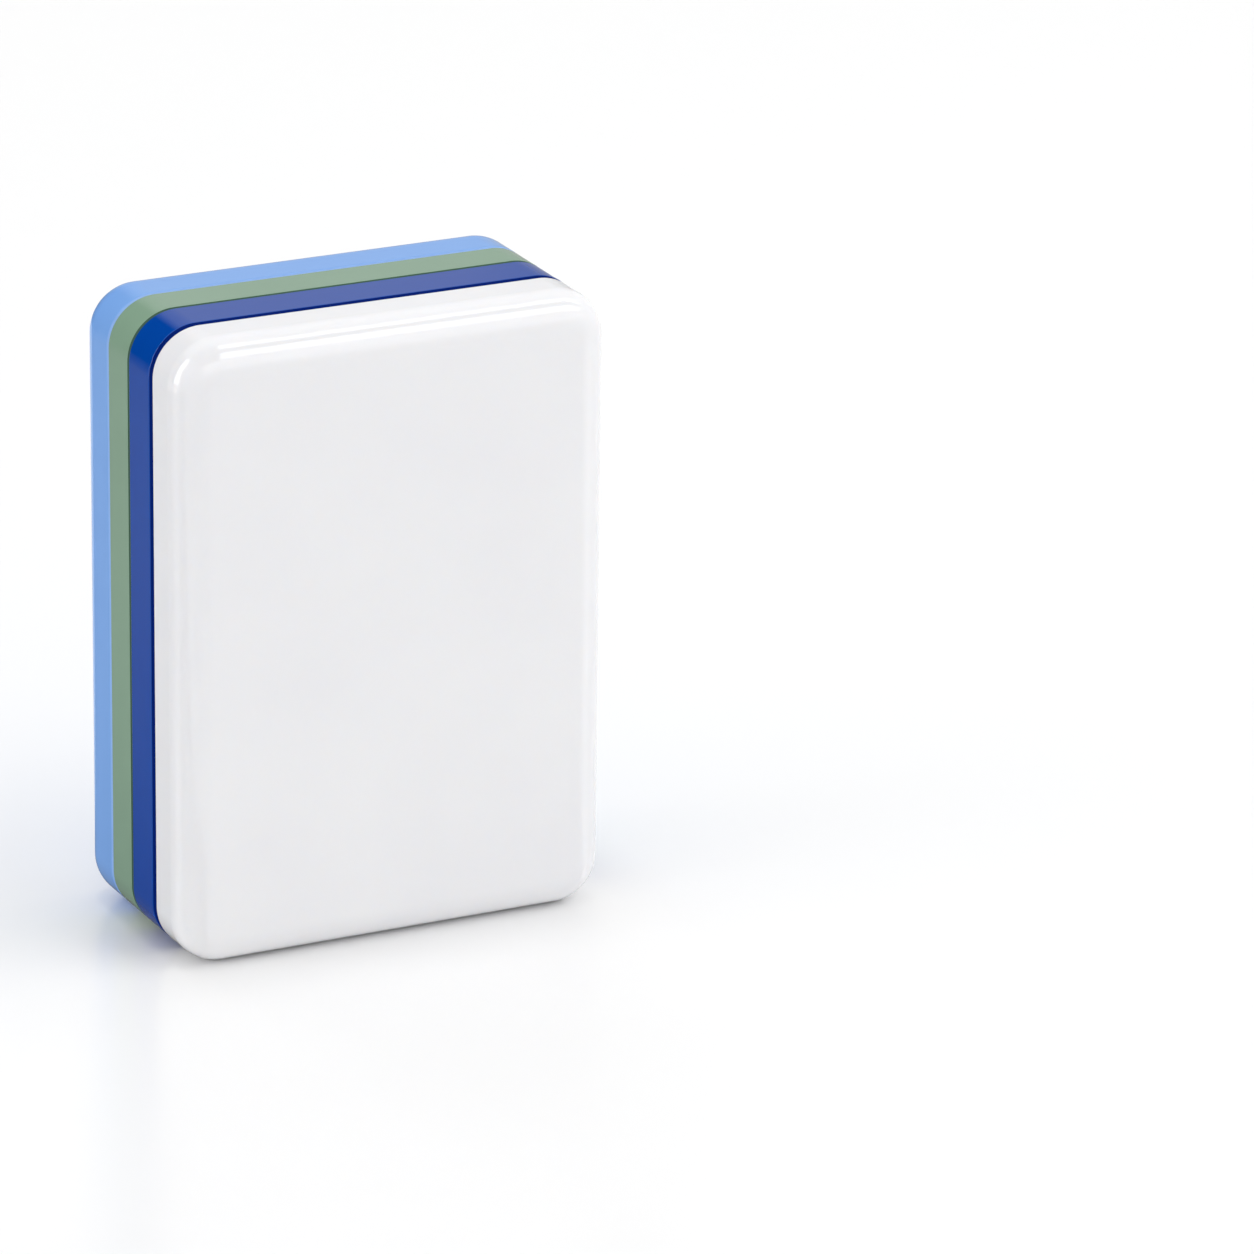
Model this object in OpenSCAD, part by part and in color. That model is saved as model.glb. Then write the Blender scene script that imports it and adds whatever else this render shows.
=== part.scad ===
// Laminated mahjong tile with a blank face.
// Four slabs of sheet plastic are cemented together, milled to one outline and polished.
// The tile stands on its short lower end with its face toward -Y. The origin is the middle
// of its footprint, on the surface that it stands on.

/* [Tile] */
// Height of the tile, from its lower end to its upper end
tile_h = 30; // [24:0.5:40]
// Width of the tile across its face
tile_w = 21.5; // [17:0.1:30]
// Radius of the four corners of the outline, seen from the face
corner_r = 2.3; // [2.1:0.1:4]

/* [Slabs] */
// Thickness of the white slab that carries the face
face_t = 3.35; // [2.5:0.05:5]
// Thickness of the navy slab behind the face slab
navy_t = 2.35; // [1.5:0.05:4]
// Thickness of the sage green slab behind the navy slab
green_t = 2.2; // [1.5:0.05:4]
// Thickness of the light blue slab that carries the back
back_t = 3.3; // [2.5:0.1:5]

/* [Edges] */
// Radius of the round between the face and the walls
face_edge_r = 1.6; // [0.6:0.05:2]
// Radius of the round between the back and the walls
back_edge_r = 1.6; // [0.6:0.05:2]
// Radius of the fine round on the rear edge of the white slab, the widest of the fine ones
face_arris_r = 0.25; // [0.1:0.01:0.4]
// Radius of the fine round on the front edge of the navy slab
navy_arris_r = 0.12; // [0.05:0.01:0.4]
// Radius of the fine round on the front edge of the sage green slab
green_arris_r = 0.1; // [0.05:0.01:0.4]
// Radius of the fine round on the front edge of the light blue slab
back_arris_r = 0.1; // [0.05:0.01:0.4]
// Radius of the fine round on the rear edge of the navy slab and of the sage green slab
rear_arris_r = 0.06; // [0.05:0.01:0.2]

/* [Cement] */
// Thickness of each cement film
film_t = 0.15; // [0.03:0.01:0.2]
// Depth of the cement line below the walls of the tile
film_recess = 0.02; // [0.02:0.01:0.3]

/* [Hidden] */
$fn = 96;

// Cutters run past the surface that they cut by this much
overrun = 0.5;

// Front planes of the pieces, from the face of the tile backward
face_front = 0;
face_film_front = face_front + face_t;
navy_front = face_film_front + film_t;
core_film_front = navy_front + navy_t;
green_front = core_film_front + film_t;
back_film_front = green_front + green_t;
back_front = back_film_front + film_t;
tile_d = back_front + back_t;

// The straight runs of the outline between its corners
run_w = tile_w - 2 * corner_r;
run_h = tile_h - 2 * corner_r;

// What a round of radius r takes off a square corner whose round is centred here
module corner_relief(r) {
    difference() {
        square(r + overrun);
        circle(r);
    }
}

// Cross-section of a rim: outer wall at x = reach, rear face on y = 0
module rim_section(reach, thick, front_r, rear_r) {
    difference() {
        square([reach, thick]);
        if (front_r > 0)
            translate([reach - front_r, thick - front_r])
                corner_relief(front_r);
        if (rear_r > 0)
            translate([reach - rear_r, rear_r])
                mirror([0, 1])
                    corner_relief(rear_r);
    }
}

// A plate lying on its rear face: the rim section is carried round the outline, revolved
// at the corners and run straight between them, about a flat middle
module plate(thick, front_r = 0, rear_r = 0, inset = 0) {
    reach = corner_r - inset;
    translate([-run_w / 2, corner_r, 0])
        cube([run_w, run_h, thick]);
    for (corner = [0 : 3]) {
        turn = 90 * corner;
        across = (corner == 0 || corner == 3) ? run_w / 2 : -run_w / 2;
        up = (corner < 2) ? corner_r + run_h : corner_r;
        run = (corner % 2 == 0) ? run_w : run_h;
        translate([across, up, 0])
            rotate(turn) {
                rotate_extrude(angle = 90)
                    rim_section(reach, thick, front_r, rear_r);
                rotate(90)
                    translate([0, run, 0])
                        rotate([90, 0, 0])
                            linear_extrude(run)
                                rim_section(reach, thick, front_r, rear_r);
            }
    }
}

// Stands a plate up with its front plane at the given depth behind the face of the tile
module stand_at(front, thick) {
    translate([0, front + thick - tile_d / 2, 0])
        rotate([90, 0, 0])
            children();
}

module cement_film(front) {
    stand_at(front, film_t)
        plate(film_t, inset = film_recess);
}

module face_slab() {
    color("#f0f0f1")
        stand_at(face_front, face_t)
            plate(face_t, front_r = face_edge_r, rear_r = face_arris_r);
}

module face_cement_film() {
    color("#14296f")
        cement_film(face_film_front);
}

module navy_slab() {
    color("#2a4a96")
        stand_at(navy_front, navy_t)
            plate(navy_t, front_r = navy_arris_r, rear_r = rear_arris_r);
}

module core_cement_film() {
    color("#4f6a5a")
        cement_film(core_film_front);
}

module green_slab() {
    color("#869f8a")
        stand_at(green_front, green_t)
            plate(green_t, front_r = green_arris_r, rear_r = rear_arris_r);
}

module back_cement_film() {
    color("#93b6ea")
        cement_film(back_film_front);
}

module back_slab() {
    color("#6f9bdc")
        stand_at(back_front, back_t)
            plate(back_t, front_r = back_arris_r, rear_r = back_edge_r);
}

face_slab();
face_cement_film();
navy_slab();
core_cement_film();
green_slab();
back_cement_film();
back_slab();
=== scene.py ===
"""A blank laminated mahjong tile: four slabs of cast resin, cemented, milled and polished.

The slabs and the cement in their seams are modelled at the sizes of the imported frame. They
stand on a white laminate floor, in soft studio light.
"""

import logging
import math
from dataclasses import dataclass
from enum import Enum

import bmesh
import bpy
from mathutils import Matrix, Vector


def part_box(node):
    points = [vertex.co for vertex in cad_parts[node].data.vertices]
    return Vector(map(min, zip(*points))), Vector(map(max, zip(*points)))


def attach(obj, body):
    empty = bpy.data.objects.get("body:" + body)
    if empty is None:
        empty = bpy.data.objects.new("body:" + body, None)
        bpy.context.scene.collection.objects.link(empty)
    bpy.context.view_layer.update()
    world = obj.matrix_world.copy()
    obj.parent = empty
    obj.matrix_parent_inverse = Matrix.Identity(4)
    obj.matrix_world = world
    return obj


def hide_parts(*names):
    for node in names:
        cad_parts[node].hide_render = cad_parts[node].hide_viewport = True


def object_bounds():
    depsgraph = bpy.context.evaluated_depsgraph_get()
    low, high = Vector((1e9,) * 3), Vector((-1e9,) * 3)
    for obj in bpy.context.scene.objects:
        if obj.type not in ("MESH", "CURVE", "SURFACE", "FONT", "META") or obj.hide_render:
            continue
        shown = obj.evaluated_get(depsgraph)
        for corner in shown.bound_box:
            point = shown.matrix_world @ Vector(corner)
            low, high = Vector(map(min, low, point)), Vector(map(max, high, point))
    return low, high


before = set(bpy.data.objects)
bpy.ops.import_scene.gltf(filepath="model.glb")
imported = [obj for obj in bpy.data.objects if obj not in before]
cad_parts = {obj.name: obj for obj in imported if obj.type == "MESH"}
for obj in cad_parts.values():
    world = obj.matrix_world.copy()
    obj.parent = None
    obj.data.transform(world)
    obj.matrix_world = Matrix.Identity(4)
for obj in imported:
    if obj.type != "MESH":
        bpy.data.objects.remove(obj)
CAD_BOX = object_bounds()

Point = tuple[float, float, float]
PlanPoint = tuple[float, float]
Outline = tuple[Point, ...]
Stops = tuple[tuple[float, float], ...]

LOG = logging.getLogger("mahjong_tile")
ROOT_BODY = "root"
MM = 0.001
# The middle of the tile, which the lamps face
MIDDLE = (Vector(CAD_BOX[0]) + Vector(CAD_BOX[1])) / 2
# Points that lie closer than this, in metres, are one point
TOUCH = 1e-6
# A face under this share of the widest face at a vertex does not tilt the normal there
MINOR_SHARE = 0.25
# Faces round each corner of the outline, alike on slabs and films so that their arcs agree
CORNER_STEPS = 24
# A Mix node's sockets for colours go by number, because those for plain values share their names
MIX_FIRST = 6
MIX_SECOND = 7
MIX_RESULT = 2


def linear(hex_colour: str) -> tuple[float, float, float, float]:
    """Turns an sRGB hex colour to the linear colour that shaders take.

    Args:
        hex_colour: A colour such as "#f0f0f1".

    Returns:
        Red, green, blue and an alpha of 1, linear.
    """
    digits = hex_colour.lstrip("#")
    shares = [int(digits[i:i + 2], 16) / 255 for i in (0, 2, 4)]
    return (*(s / 12.92 if s <= 0.04045 else ((s + 0.055) / 1.055) ** 2.4 for s in shares), 1.0)


def add_node(tree: bpy.types.NodeTree, kind: str, settings: dict[str, object] | None = None,
             values: dict[str | int, object] | None = None,
             links: dict[str | int, bpy.types.NodeSocket] | None = None) -> bpy.types.Node:
    """Adds one shader node.

    Args:
        tree: The node tree that gets it.
        kind: The node's Blender type name.
        settings: Its own properties, by name.
        values: Values of its input sockets, by name or number.
        links: Output sockets that feed its input sockets, by name or number.

    Returns:
        The new node.
    """
    node = tree.nodes.new(kind)
    for name, value in (settings or {}).items():
        setattr(node, name, value)
    for socket, value in (values or {}).items():
        node.inputs[socket].default_value = value
    for socket, source in (links or {}).items():
        tree.links.new(source, node.inputs[socket])
    return node


def new_material(name: str) -> tuple[bpy.types.Material, bpy.types.NodeTree]:
    """Makes a node material that has no nodes yet.

    Args:
        name: The material's name.

    Returns:
        The material and its node tree.
    """
    material = bpy.data.materials.new(name)
    material.use_nodes = True
    material.node_tree.nodes.clear()
    return material, material.node_tree


@dataclass(frozen=True)
class PolishedResin:
    """Cast resin sheet, milled and buffed: an even body colour under a clear, wet-looking gloss.

    The pigment clouds a little within the casting, and the buffing wheel leaves the surface
    very slightly wavy and its gloss a little uneven. The wheel's marks are drawn coarser than
    they are, so that they show. The glow is light that enters the resin and leaves it close by.
    """

    name: str
    slot: str
    body: str
    cloud: str
    roughness: float = 0.05
    gloss_spread: float = 0.25
    ior: float = 1.49
    glow: float = 0.0
    glow_mm: float = 0.15
    glow_tint: Point = (1.0, 0.9, 0.8)
    cloud_mm: float = 7.0
    cloud_range: tuple[float, float] = (0.3, 0.7)
    wave_mm: float = 5.0
    wave_height_mm: float = 0.002
    buff_mm: float = 0.6

    def material(self) -> bpy.types.Material:
        """Builds the resin's node material.

        Returns:
            The new material.
        """
        material, tree = new_material(self.name)
        place = add_node(tree, "ShaderNodeTexCoord").outputs["Object"]
        clouds = add_node(tree, "ShaderNodeTexNoise", values={
            "Scale": 1 / (self.cloud_mm * MM), "Detail": 3.0,
        }, links={"Vector": place})
        soft = add_node(tree, "ShaderNodeMapRange", values={
            "From Min": self.cloud_range[0], "From Max": self.cloud_range[1],
        }, links={"Value": clouds.outputs["Fac"]})
        colour = add_node(tree, "ShaderNodeMix", {"data_type": "RGBA"}, {
            MIX_FIRST: linear(self.body), MIX_SECOND: linear(self.cloud),
        }, {"Factor": soft.outputs["Result"]})
        buffing = add_node(tree, "ShaderNodeTexNoise", values={
            "Scale": 1 / (self.buff_mm * MM), "Detail": 2.0,
        }, links={"Vector": place})
        gloss = add_node(tree, "ShaderNodeMapRange", values={
            "To Min": self.roughness * (1 - self.gloss_spread),
            "To Max": self.roughness * (1 + self.gloss_spread),
        }, links={"Value": buffing.outputs["Fac"]})
        waves = add_node(tree, "ShaderNodeTexNoise", values={
            "Scale": 1 / (self.wave_mm * MM), "Detail": 0.0,
        }, links={"Vector": place})
        relief = add_node(tree, "ShaderNodeBump", values={
            "Strength": 1.0, "Distance": self.wave_height_mm * MM,
        }, links={"Height": waves.outputs["Fac"]})
        surface = add_node(tree, "ShaderNodeBsdfPrincipled", values={
            "IOR": self.ior,
            "Subsurface Weight": self.glow,
            "Subsurface Radius": self.glow_tint,
            "Subsurface Scale": self.glow_mm * MM,
        }, links={
            "Base Color": colour.outputs[MIX_RESULT],
            "Roughness": gloss.outputs["Result"],
            "Normal": relief.outputs["Normal"],
        })
        add_node(tree, "ShaderNodeOutputMaterial", links={"Surface": surface.outputs["BSDF"]})
        return material


@dataclass(frozen=True)
class CuredCement:
    """Cement that has cured in a seam: tinted like its slabs, duller than they and mottled.

    The mottling is drawn coarser than it is, so that it shows on so thin a line. The shine is the
    share of the usual gloss, where 0.5 is all of it. The body colour is partly painted light:
    painted groove shade in the dark films, and a painted highlight in the pale one.
    """

    name: str
    slot: str
    body: str
    mottle: str
    roughness: float = 0.55
    gloss_spread: float = 0.2
    ior: float = 1.48
    shine: float = 0.0
    mottle_mm: float = 0.8

    def material(self) -> bpy.types.Material:
        """Builds the cement's node material.

        Returns:
            The new material.
        """
        material, tree = new_material(self.name)
        place = add_node(tree, "ShaderNodeTexCoord").outputs["Object"]
        grain = add_node(tree, "ShaderNodeTexNoise", values={
            "Scale": 1 / (self.mottle_mm * MM), "Detail": 3.0,
        }, links={"Vector": place})
        # The body colour is partly painted light: painted groove shade in the dark films, and a
        # painted highlight in the pale one
        colour = add_node(tree, "ShaderNodeMix", {"data_type": "RGBA"}, {
            MIX_FIRST: linear(self.body), MIX_SECOND: linear(self.mottle),
        }, {"Factor": grain.outputs["Fac"]})
        dull = add_node(tree, "ShaderNodeMapRange", values={
            "To Min": self.roughness * (1 - self.gloss_spread),
            "To Max": self.roughness * (1 + self.gloss_spread),
        }, links={"Value": grain.outputs["Fac"]})
        surface = add_node(tree, "ShaderNodeBsdfPrincipled", values={
            "IOR": self.ior, "Specular IOR Level": self.shine,
        }, links={
            "Base Color": colour.outputs[MIX_RESULT], "Roughness": dull.outputs["Result"],
        })
        add_node(tree, "ShaderNodeOutputMaterial", links={"Surface": surface.outputs["BSDF"]})
        return material


@dataclass(frozen=True)
class SatinLaminate:
    """Laminate board pressed to a satin finish: what stands on it shows as a soft blur."""

    name: str
    body: str
    roughness: float = 0.22
    gloss_spread: float = 0.05
    ior: float = 1.4
    grain_mm: float = 3.0

    def material(self) -> bpy.types.Material:
        """Builds the laminate's node material.

        Returns:
            The new material.
        """
        material, tree = new_material(self.name)
        place = add_node(tree, "ShaderNodeTexCoord").outputs["Object"]
        grain = add_node(tree, "ShaderNodeTexNoise", values={
            "Scale": 1 / (self.grain_mm * MM), "Detail": 2.0,
        }, links={"Vector": place})
        sheen = add_node(tree, "ShaderNodeMapRange", values={
            "To Min": self.roughness * (1 - self.gloss_spread),
            "To Max": self.roughness * (1 + self.gloss_spread),
        }, links={"Value": grain.outputs["Fac"]})
        surface = add_node(tree, "ShaderNodeBsdfPrincipled", values={
            "Base Color": linear(self.body), "IOR": self.ior,
        }, links={"Roughness": sheen.outputs["Result"]})
        add_node(tree, "ShaderNodeOutputMaterial", links={"Surface": surface.outputs["BSDF"]})
        return material


# White cast resin, buffed the longest: like porcelain, with a soft glow under a sharp gloss
WHITE_RESIN = PolishedResin("white_cast_resin", "white_resin", "#f3f3f5", "#f0f0f3",
                            roughness=0.035, glow=0.5)
# Navy cast resin, dyed through: deep blue in itself, and greyer where it mirrors the room
NAVY_RESIN = PolishedResin("navy_cast_resin", "navy_resin", "#0041a0", "#0345a2")
# Sage cast resin with a chalky pigment: a quiet grey green, close to matt in body
SAGE_RESIN = PolishedResin("sage_cast_resin", "sage_resin", "#83a18a", "#87a58e")
# Light blue cast resin with a chalky pigment: an even sky blue
BLUE_RESIN = PolishedResin("light_blue_cast_resin", "light_blue_resin", "#7cabec", "#80aeed")
# Navy cement, darker than the navy slab: a dark line round the white slab. It is partly its tinted
# joint and partly painted shade of the groove between the two slabs
NAVY_CEMENT = CuredCement("navy_cement_and_painted_groove_shade", "navy_cement", "#061e66", "#08226c")
# Sage cement, dark green: a thin dark line before the sage slab. It is partly its tinted joint and
# partly painted shade of the groove between the slabs
SAGE_CEMENT = CuredCement("sage_cement_and_painted_groove_shade", "green_cement", "#456052", "#3d5748")
# Light blue cement, paler than the light blue slab: a thin light line before it. It is partly its
# tinted joint and partly a painted highlight of the fine rounds at the seam
BLUE_CEMENT = CuredCement("blue_cement_and_painted_highlight", "blue_cement", "#93b6ea", "#86aae2")
# White laminate: nearly as bright as the background, so that its far edge doesn't show
WHITE_LAMINATE = SatinLaminate("white_satin_laminate", "#f8f8f8")


def make_object(bm: bmesh.types.BMesh, name: str, material: bpy.types.Material,
                ) -> bpy.types.Object:
    """Turns a finished bmesh into an object at the origin.

    Args:
        bm: The mesh in place, which is freed here.
        name: The name of the mesh and of the object.
        material: What it is made of.

    Returns:
        The new object, in the scene.
    """
    mesh = bpy.data.meshes.new(name)
    bm.to_mesh(mesh)
    bm.free()
    mesh.materials.append(material)
    made = bpy.data.objects.new(name, mesh)
    bpy.context.scene.collection.objects.link(made)
    return made


def true_normal(vertex: bmesh.types.BMVert) -> Vector:
    """Works out a normal at a vertex that keeps flat faces flat up to their rounds.

    Args:
        vertex: A vertex of a piece whose faces point outward.

    Returns:
        The unit normal of the widest faces at the vertex.
    """
    widest = max(face.calc_area() for face in vertex.link_faces)
    main = [face.normal for face in vertex.link_faces if face.calc_area() > MINOR_SHARE * widest]
    return sum(main, Vector()).normalized()


def finish_piece(bm: bmesh.types.BMesh, piece_name: str, node: str,
                 finish: PolishedResin | CuredCement) -> bpy.types.Object:
    """Turns a finished bmesh into a dressed piece that stands for a CAD node.

    Args:
        bm: The piece's mesh in place, which is freed here.
        piece_name: The name of the new piece.
        node: The CAD node that it stands for.
        finish: What it is made of.

    Returns:
        The new piece, riding on the tile's one body.
    """
    bmesh.ops.recalc_face_normals(bm, faces=bm.faces)
    for face in bm.faces:
        face.smooth = True
    normals = [true_normal(vertex) for vertex in bm.verts]
    piece = make_object(bm, piece_name, finish.material())
    piece.data.normals_split_custom_set_from_vertices(normals)
    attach(piece, ROOT_BODY)
    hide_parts(node)
    return piece


class Rim(Enum):
    """How a slab's rim is rounded, with the number of steps that its mesh gets."""

    OPEN = 16
    SEAM = 6


@dataclass
class Slab:
    """One slab of the tile, rebuilt from its box in the frame.

    Its front and rear rim each have a kind and the radius of their round. Sizes are in
    millimetres.
    """

    node: str
    piece: str
    finish: PolishedResin
    corner_mm: float
    front: tuple[Rim, float]
    rear: tuple[Rim, float]

    def build(self) -> bpy.types.Object:
        """Models, dresses and seats the slab in place of its CAD node.

        Returns:
            The slab's piece.
        """
        low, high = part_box(self.node)
        bm = bmesh.new()
        bmesh.ops.create_cube(bm, size=1.0)
        bmesh.ops.scale(bm, vec=high - low, verts=bm.verts)
        bmesh.ops.translate(bm, vec=(low + high) / 2, verts=bm.verts)
        through = [e for e in bm.edges if abs(e.verts[0].co.y - e.verts[1].co.y) > TOUCH]
        self.round_off(bm, through, self.corner_mm, CORNER_STEPS)
        for level, (rim, radius_mm) in ((low.y, self.front), (high.y, self.rear)):
            edges = [e for e in bm.edges if all(abs(v.co.y - level) < TOUCH for v in e.verts)]
            self.round_off(bm, edges, radius_mm, rim.value)
        return finish_piece(bm, self.piece, self.node, self.finish)

    @staticmethod
    def round_off(bm: bmesh.types.BMesh, edges: list[bmesh.types.BMEdge], radius_mm: float,
                  steps: int) -> None:
        """Rounds square edges to a radius.

        Args:
            bm: The slab's mesh.
            edges: The edges to round.
            radius_mm: The radius in millimetres.
            steps: How many faces the round gets.
        """
        bmesh.ops.bevel(
            bm, geom=edges, offset=radius_mm * MM, offset_type="OFFSET", segments=steps,
            profile=0.5, affect="EDGES", material=-1, clamp_overlap=False,
        )


@dataclass
class CementFilm:
    """One cement film, whose rim swells to a bead that fills the groove between its slabs.

    Cement that was squeezed out of the seam fills the groove between the fine rounds of the
    two slabs, and was buffed down with them to just below the walls. Sizes are in
    millimetres, and the grooves are the fine rounds of the slab before and the slab behind.
    """

    node: str
    piece: str
    finish: CuredCement
    corner_mm: float
    grooves_mm: tuple[float, float]
    walls_node: str = "face_slab"
    buffed_mm: float = 0.015
    arc_steps: int = 5

    def build(self) -> bpy.types.Object:
        """Sweeps the rim round the tile's outline and closes the front and the rear.

        Returns:
            The film's piece.
        """
        low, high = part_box(self.walls_node)
        front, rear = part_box(self.node)
        corner = self.corner_mm * MM
        run_x = high.x - low.x - 2 * corner
        run_z = high.z - low.z - 2 * corner
        centre = Vector((high.x - corner, 0.0, high.z - corner))
        bm = bmesh.new()
        points = [
            bm.verts.new((high.x - depth, y, centre.z))
            for depth, y in self.section(front.y, rear.y)
        ]
        rim = [bm.edges.new(pair) for pair in zip(points, points[1:])]
        for way in (Vector((-run_x, 0, 0)), Vector((0, 0, -run_z)),
                    Vector((run_x, 0, 0)), Vector((0, 0, run_z))):
            turned = bmesh.ops.spin(
                bm, geom=rim, cent=centre, axis=(0.0, -1.0, 0.0), angle=math.pi / 2,
                steps=CORNER_STEPS,
            )["geom_last"]
            edges = [g for g in turned if isinstance(g, bmesh.types.BMEdge)]
            pushed = bmesh.ops.extrude_edge_only(bm, edges=edges)["geom"]
            ends = [g for g in pushed if isinstance(g, bmesh.types.BMVert)]
            rim = [
                g for g in pushed
                if isinstance(g, bmesh.types.BMEdge) and all(v in ends for v in g.verts)
            ]
            bmesh.ops.translate(bm, vec=way, verts=ends)
            centre = centre + way
        bmesh.ops.remove_doubles(bm, verts=bm.verts, dist=TOUCH)
        bmesh.ops.edgeloop_fill(bm, edges=[e for e in bm.edges if e.is_boundary])
        return finish_piece(bm, self.piece, self.node, self.finish)

    def section(self, front: float, rear: float) -> list[PlanPoint]:
        """Works out the rim's section, from the front plane outward and back to the rear.

        Args:
            front: Where the film's front plane lies along Y.
            rear: Where its rear plane lies.

        Returns:
            Pairs of a depth below the wall and a place along Y.
        """
        sides = []
        for plane, radius_mm, outward in zip((front, rear), self.grooves_mm, (-1, 1)):
            radius = radius_mm * MM
            last = math.asin(1 - self.buffed_mm / radius_mm)
            angles = [last * step / self.arc_steps for step in range(self.arc_steps + 1)]
            sides.append([
                (radius * (1 - math.sin(a)), plane + outward * radius * (1 - math.cos(a)))
                for a in angles
            ])
        before, behind = sides
        return before + behind[::-1]


@dataclass
class Tile:
    """The laminated tile: slabs from the face backward, with a cement film in each seam.

    An arris is the fine round on a slab's rim at a seam: the rear one of the white slab, and
    the front ones of the other three, which also have a finer rear one. Sizes are in
    millimetres.
    """

    corner_mm: float = 2.3
    face_round_mm: float = 1.6
    back_round_mm: float = 1.6
    face_arris_mm: float = 0.25
    navy_arris_mm: float = 0.12
    green_arris_mm: float = 0.1
    back_arris_mm: float = 0.1
    rear_arris_mm: float = 0.06

    def build(self) -> list[bpy.types.Object]:
        """Builds the slabs in order from the face, and then the films.

        Returns:
            Every piece of the tile.
        """
        rear = (Rim.SEAM, self.rear_arris_mm)
        slabs = [
            Slab("face_slab", "white_face_slab", WHITE_RESIN, self.corner_mm,
                 (Rim.OPEN, self.face_round_mm), (Rim.SEAM, self.face_arris_mm)),
            Slab("navy_slab", "navy_middle_slab", NAVY_RESIN, self.corner_mm,
                 (Rim.SEAM, self.navy_arris_mm), rear),
            Slab("green_slab", "sage_middle_slab", SAGE_RESIN, self.corner_mm,
                 (Rim.SEAM, self.green_arris_mm), rear),
            Slab("back_slab", "blue_back_slab", BLUE_RESIN, self.corner_mm,
                 (Rim.SEAM, self.back_arris_mm), (Rim.OPEN, self.back_round_mm)),
        ]
        films = [
            CementFilm("face_cement_film", "navy_cement_film", NAVY_CEMENT, self.corner_mm,
                       (self.face_arris_mm, self.navy_arris_mm)),
            CementFilm("core_cement_film", "sage_cement_film", SAGE_CEMENT, self.corner_mm,
                       (self.rear_arris_mm, self.green_arris_mm)),
            CementFilm("back_cement_film", "blue_cement_film", BLUE_CEMENT, self.corner_mm,
                       (self.rear_arris_mm, self.back_arris_mm)),
        ]
        return [part.build() for part in (*slabs, *films)]


def direction(azimuth_deg: float, elevation_deg: float) -> Vector:
    """A unit vector. Azimuth 0 is +Y, 90 is +X; elevation is above the floor."""
    a, e = math.radians(azimuth_deg), math.radians(elevation_deg)
    return Vector((math.sin(a) * math.cos(e), math.cos(a) * math.cos(e), math.sin(e)))


@dataclass(frozen=True)
class Softbox:
    """A square studio lamp that faces the tile. The cards carry what it would mirror.

    Its side and its distance are in metres, and its radiance is that of its front, where 1
    is white.
    """

    name: str
    azimuth_deg: float
    elevation_deg: float
    side: float
    radiance: float
    distance: float = 0.5

    def build(self) -> bpy.types.Object:
        """Hangs the lamp, with its power worked out from the radiance of its front.

        Returns:
            The lamp.
        """
        data = bpy.data.lights.new(self.name, "AREA")
        data.shape = "SQUARE"
        data.size = self.side
        data.energy = self.radiance * math.pi * self.side ** 2
        lamp = bpy.data.objects.new(self.name, data)
        bpy.context.scene.collection.objects.link(lamp)
        toward = direction(self.azimuth_deg, self.elevation_deg)
        lamp.location = MIDDLE + toward * self.distance
        lamp.rotation_euler = toward.to_track_quat("Z", "Y").to_euler()
        lamp.visible_camera = False
        lamp.visible_glossy = False
        return lamp


class Measure(Enum):
    """What the tone of a card follows."""

    AZIMUTH = "azimuth in degrees"
    DISTANCE = "distance from the tile in metres"
    HEIGHT = "height in metres"


@dataclass(frozen=True)
class Card:
    """A studio card that only gloss shows, and only from the card's front.

    Its outline runs along one long edge and back along the other. The stops pair a value of
    the card's measure with a tone, where 1 is white.
    """

    name: str
    outline: Outline
    stops: Stops
    measure: Measure = Measure.HEIGHT

    def grade(self, tree: bpy.types.NodeTree) -> bpy.types.NodeSocket:
        """Adds the nodes that grade the card along its measure.

        Args:
            tree: The node tree of the card's material.

        Returns:
            The output socket that gives the tone.
        """
        place = add_node(tree, "ShaderNodeTexCoord").outputs["Object"]
        axes = add_node(tree, "ShaderNodeSeparateXYZ", links={0: place}).outputs
        if self.measure is Measure.AZIMUTH:
            turn = add_node(tree, "ShaderNodeMath", {"operation": "ARCTAN2"},
                            links={0: axes["X"], 1: axes["Y"]})
            value = add_node(tree, "ShaderNodeMath", {"operation": "DEGREES"},
                             links={0: turn.outputs["Value"]}).outputs["Value"]
        elif self.measure is Measure.DISTANCE:
            value = add_node(tree, "ShaderNodeVectorMath", {"operation": "LENGTH"},
                             links={0: place}).outputs["Value"]
        else:
            value = axes["Z"]
        first, last = self.stops[0][0], self.stops[-1][0]
        share = add_node(tree, "ShaderNodeMapRange", values={
            "From Min": first, "From Max": last,
        }, links={"Value": value}).outputs["Result"]
        ramp = add_node(tree, "ShaderNodeValToRGB", links={"Fac": share})
        points = ramp.color_ramp.elements
        while len(points) < len(self.stops):
            points.new(position=0.5)
        for point, (at, tone) in zip(points, self.stops):
            point.position = (at - first) / (last - first)
            point.color = (tone, tone, tone, 1.0)
        return ramp.outputs["Color"]

    def build(self) -> bpy.types.Object:
        """Sets the card up in the studio.

        Returns:
            The card.
        """
        material, tree = new_material(self.name + "_board")
        board = add_node(tree, "ShaderNodeEmission", links={"Color": self.grade(tree)})
        clear = add_node(tree, "ShaderNodeBsdfTransparent")
        sided = add_node(tree, "ShaderNodeMixShader", links={
            0: add_node(tree, "ShaderNodeNewGeometry").outputs["Backfacing"],
            1: board.outputs["Emission"], 2: clear.outputs["BSDF"],
        })
        add_node(tree, "ShaderNodeOutputMaterial", links={"Surface": sided.outputs["Shader"]})
        bm = bmesh.new()
        half = len(self.outline) // 2
        near = [bm.verts.new(point) for point in self.outline[:half]]
        far = [bm.verts.new(point) for point in reversed(self.outline[half:])]
        for i in range(half - 1):
            bm.faces.new((near[i], near[i + 1], far[i + 1], far[i]))
        card = make_object(bm, self.name, material)
        card.visible_camera = False
        card.visible_diffuse = False
        card.visible_transmission = False
        card.visible_shadow = False
        return card


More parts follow.
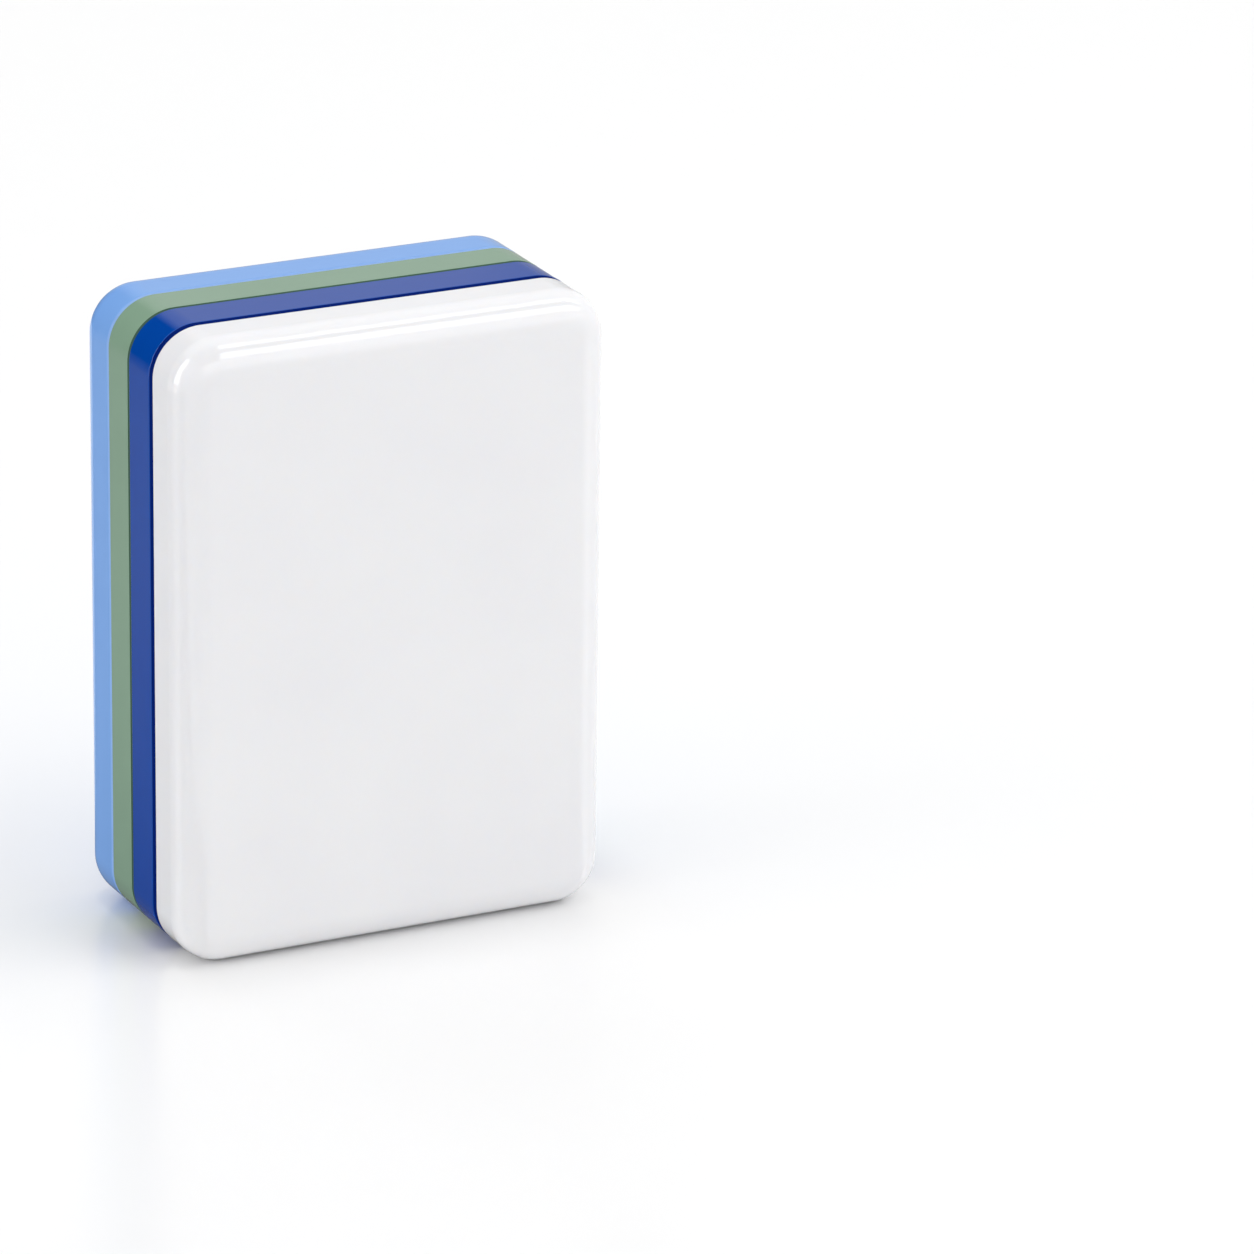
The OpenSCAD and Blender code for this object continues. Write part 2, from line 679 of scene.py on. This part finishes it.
def wall(plan: tuple[PlanPoint, ...], low: float, high: float) -> Outline:
    """Gives the outline of an upright card, whose plan runs clockwise round what it faces."""
    return (*((x, y, low) for x, y in plan), *((x, y, high) for x, y in reversed(plan)))


def level(plan: tuple[PlanPoint, ...], height: float) -> Outline:
    """Gives the outline of a level card, face up if its plan runs anticlockwise from above."""
    return tuple((x, y, height) for x, y in plan)


def oblong(corner: PlanPoint, other: PlanPoint) -> tuple[PlanPoint, ...]:
    """Gives the plan of a rectangle from two opposite corners."""
    return corner, (other[0], corner[1]), other, (corner[0], other[1])


def even(tone: float) -> Stops:
    """Gives the stops of a card that has one tone all over."""
    return (0.0, tone), (1.0, tone)


# Heights of the level cards in metres: two layers on the floor, and two overhead
FLAG_HEIGHT = 0.0001
FLOOR_CARD_HEIGHT = 0.0002
STRIP_HEIGHT = 0.40
SILK_HEIGHT = 0.42


@dataclass
class Studio:
    """The laminate floor, the soft lamps, the cards and the even light of the room.

    Sizes and places are in metres. The room level is what the room gives to matt surfaces,
    where 1 is white.
    """

    floor_size: float = 6.0
    room_level: float = 0.66
    # Each lamp's azimuth and elevation in degrees, its side and its radiance
    lamps: tuple[Softbox, ...] = (
        Softbox("overhead_softbox", 0.0, 89.0, 0.12, 8.1),
        Softbox("right_softbox", 135.0, 50.0, 0.27, 2.0),
        Softbox("rear_softbox", 0.0, 45.0, 0.35, 0.75),
        Softbox("low_front_softbox", 180.0, 15.0, 0.35, 0.27),
        Softbox("low_left_softbox", -90.0, 15.0, 0.35, 1.25),
        Softbox("low_right_softbox", 95.0, 18.0, 0.35, 0.8),
    )
    cards: tuple[Card, ...] = (
        # Folded close round the upper end: the top walls mirror it, and its dark end shades
        # the upper left corner
        Card("wrap_card", wall(((-0.022, 0.001), (-0.022, 0.0125), (0.024, 0.0125)), 0.0268, 0.044),
             ((-90.0, 0.0), (-38.7, 0.0), (-34.2, 0.3), (-29.2, 0.55), (43.8, 0.55),
              (58.0, 0.40), (63.0, 0.38)), Measure.AZIMUTH),
        # On the floor behind at the left: what the left walls mirror
        Card("rear_floor_flag",
             level(((-0.0092, -0.0025), (-0.0092, 0.012), (-0.22, 0.50), (-0.361, 0.50)),
                   FLAG_HEIGHT),
             ((0.012, 0.14), (0.032, 0.24), (0.055, 0.30), (0.078, 0.30), (0.115, 0.18),
              (0.17, 0.11), (0.32, 0.03)), Measure.DISTANCE),
        # On the floor beside the tile: keeps the gloss of the face's left round low
        Card("side_floor_flag",
             level(((-0.0112, -0.020), (-0.0092, -0.0025), (-0.075, 0.0915), (-0.110, -0.035)),
                   FLAG_HEIGHT), even(0.07)),
        # Upright at the left: the curved streak on the upper left corner of the face
        Card("left_panel", wall(((-0.4, 0.02), (-0.4, 0.17)), 0.014, 0.62), even(6.0)),
        # On the floor at the left and at the right: a soft light line along either round
        Card("floor_strip",
             level(((-0.0107, -0.0052), (-0.0107, -0.0040), (-0.090, 0.0375), (-0.100, 0.0050)),
                   FLOOR_CARD_HEIGHT), even(0.7)),
        Card("right_floor_card",
             level(((0.0112, -0.0055), (0.0108, -0.0060), (0.075, -0.081), (0.101, -0.047)),
                   FLOOR_CARD_HEIGHT), even(1.9)),
        # Overhead: what the round along the upper edge of the face mirrors. The two strips
        # make its double highlight, and the dark silk over them parts the two
        Card("ceiling_silk", level(oblong((-0.35, 0.05), (0.6, -0.42)), SILK_HEIGHT), even(0.1)),
        Card("front_silk", level(oblong((-0.35, -0.42), (1.2, -1.6)), SILK_HEIGHT), even(2.2)),
        Card("rear_silk", level(oblong((-0.35, 0.45), (0.6, 0.05)), SILK_HEIGHT), even(0.8)),
        Card("rear_strip", level(oblong((0.1, 0.03), (0.6, -0.06)), STRIP_HEIGHT), even(3.8)),
        Card("front_strip", level(oblong((0.1, -0.16), (0.6, -0.37)), STRIP_HEIGHT), even(4.2)),
    )

    def build(self) -> None:
        """Builds the floor, the room's light, the lamps and the cards."""
        self.build_floor()
        self.build_room()
        for fixture in (*self.lamps, *self.cards):
            LOG.info("studio: %s", fixture.build().name)

    def build_floor(self) -> None:
        """Lays the floor."""
        bm = bmesh.new()
        bmesh.ops.create_grid(bm, x_segments=2, y_segments=2, size=self.floor_size / 2)
        make_object(bm, "floor", WHITE_LAMINATE.material())

    def build_room(self) -> None:
        """Fills the room with even light: matt surfaces get less of it than the eye sees."""
        world = bpy.data.worlds.new("studio_room")
        bpy.context.scene.world = world
        world.use_nodes = True
        tree = world.node_tree
        tree.nodes.clear()
        path = add_node(tree, "ShaderNodeLightPath").outputs
        seen = path["Is Camera Ray"]
        for ray in ("Is Glossy Ray", "Is Transmission Ray"):
            seen = add_node(tree, "ShaderNodeMath", {"operation": "MAXIMUM"},
                            links={0: seen, 1: path[ray]}).outputs["Value"]
        strength = add_node(tree, "ShaderNodeMix", values={"A": self.room_level, "B": 1.0},
                            links={"Factor": seen}).outputs["Result"]
        white = add_node(tree, "ShaderNodeBackground", values={"Color": linear("#ffffff")},
                         links={"Strength": strength})
        add_node(tree, "ShaderNodeOutputWorld", links={"Surface": white.outputs["Background"]})


@dataclass
class Viewpoint:
    """The camera, from a fit to the tile's outline and seams in the photograph.

    Azimuth and elevation say from where it looks at the tile, as they do for a lamp. It sees
    what lies between its nearest and its farthest distance, in metres.
    """

    lens_mm: float = 239.09
    sensor_mm: float = 36.0
    position_mm: Point = (-151.10, -328.91, 144.98)
    azimuth_deg: float = 206.733
    elevation_deg: float = 19.961
    roll_deg: float = 0.734
    nearest: float = 0.01
    farthest: float = 20.0

    def build(self) -> bpy.types.Object:
        """Sets up the camera as the scene's own.

        Returns:
            The camera.
        """
        data = bpy.data.cameras.new("photo_camera")
        data.lens = self.lens_mm
        data.sensor_width = self.sensor_mm
        data.clip_start = self.nearest
        data.clip_end = self.farthest
        camera = bpy.data.objects.new("photo_camera", data)
        bpy.context.scene.collection.objects.link(camera)
        back = direction(self.azimuth_deg, self.elevation_deg)
        aim = back.to_track_quat("Z", "Y").to_matrix().to_4x4()
        roll = Matrix.Rotation(math.radians(self.roll_deg), 4, "Z")
        camera.matrix_world = Matrix.Translation(Vector(self.position_mm) * MM) @ aim @ roll
        bpy.context.scene.camera = camera
        return camera


def write_sizes() -> None:
    """Updates the view layer, so that the boxes of the scene are current."""
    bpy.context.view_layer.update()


def main() -> None:
    """Builds the tile, its studio and the camera, in that order."""
    logging.basicConfig(level=logging.INFO, format="%(name)s: %(message)s")
    bpy.context.scene.view_settings.view_transform = "Standard"
    for piece in Tile().build():
        LOG.info("piece: %s, %d faces", piece.name, len(piece.data.polygons))
    Studio().build()
    LOG.info("camera: %s", Viewpoint().build().name)
    write_sizes()


if __name__ == "__main__":
    main()
